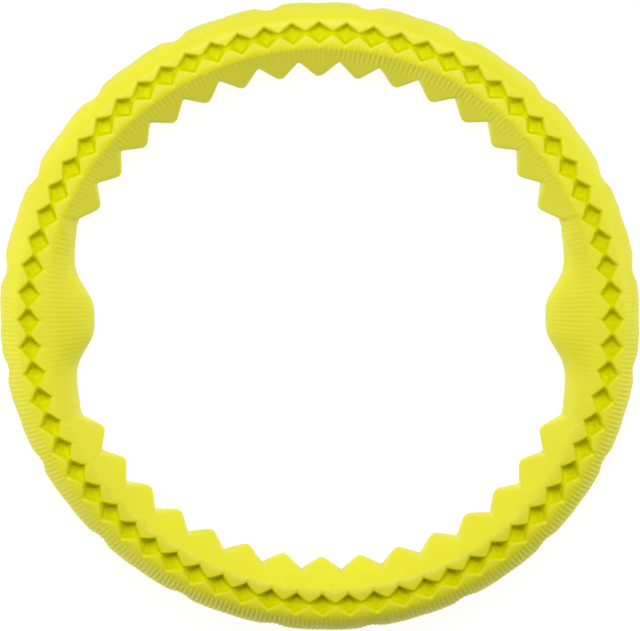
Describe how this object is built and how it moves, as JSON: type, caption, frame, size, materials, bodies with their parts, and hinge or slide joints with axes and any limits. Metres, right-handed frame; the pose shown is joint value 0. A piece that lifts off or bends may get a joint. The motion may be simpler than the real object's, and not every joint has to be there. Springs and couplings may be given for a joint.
{
  "type": "juggling ring",
  "caption": "Chunky soft juggling ring with a zigzag row of diamond recesses in its faces, a toothed inner edge, rounded grip swells and a stiff hoop inside.",
  "frame": {"origin": "centre of the ring, on its axis and on the joint plane between the two half shells", "axes": "+Z along the ring's axis out of the front face; the two grip swells are on +X and -X; the tooth rows are centred on +Y and -Y"},
  "size_m": [0.2418, 0.2382, 0.027],
  "materials": {
    "front_elastomer": "matte, fine moulded ribs across the tube",
    "rear_elastomer": "matte, fine moulded ribs across the tube",
    "hoop_rod": "satin drawn rod",
    "ferrule_brass": "drawn tube, lightly brushed"
  },
  "bodies": {
    "root": {"front_shell": "front_elastomer", "rear_shell": "rear_elastomer", "core_hoop": "hoop_rod", "hoop_ferrule": "ferrule_brass"}
  },
  "joints": []
}
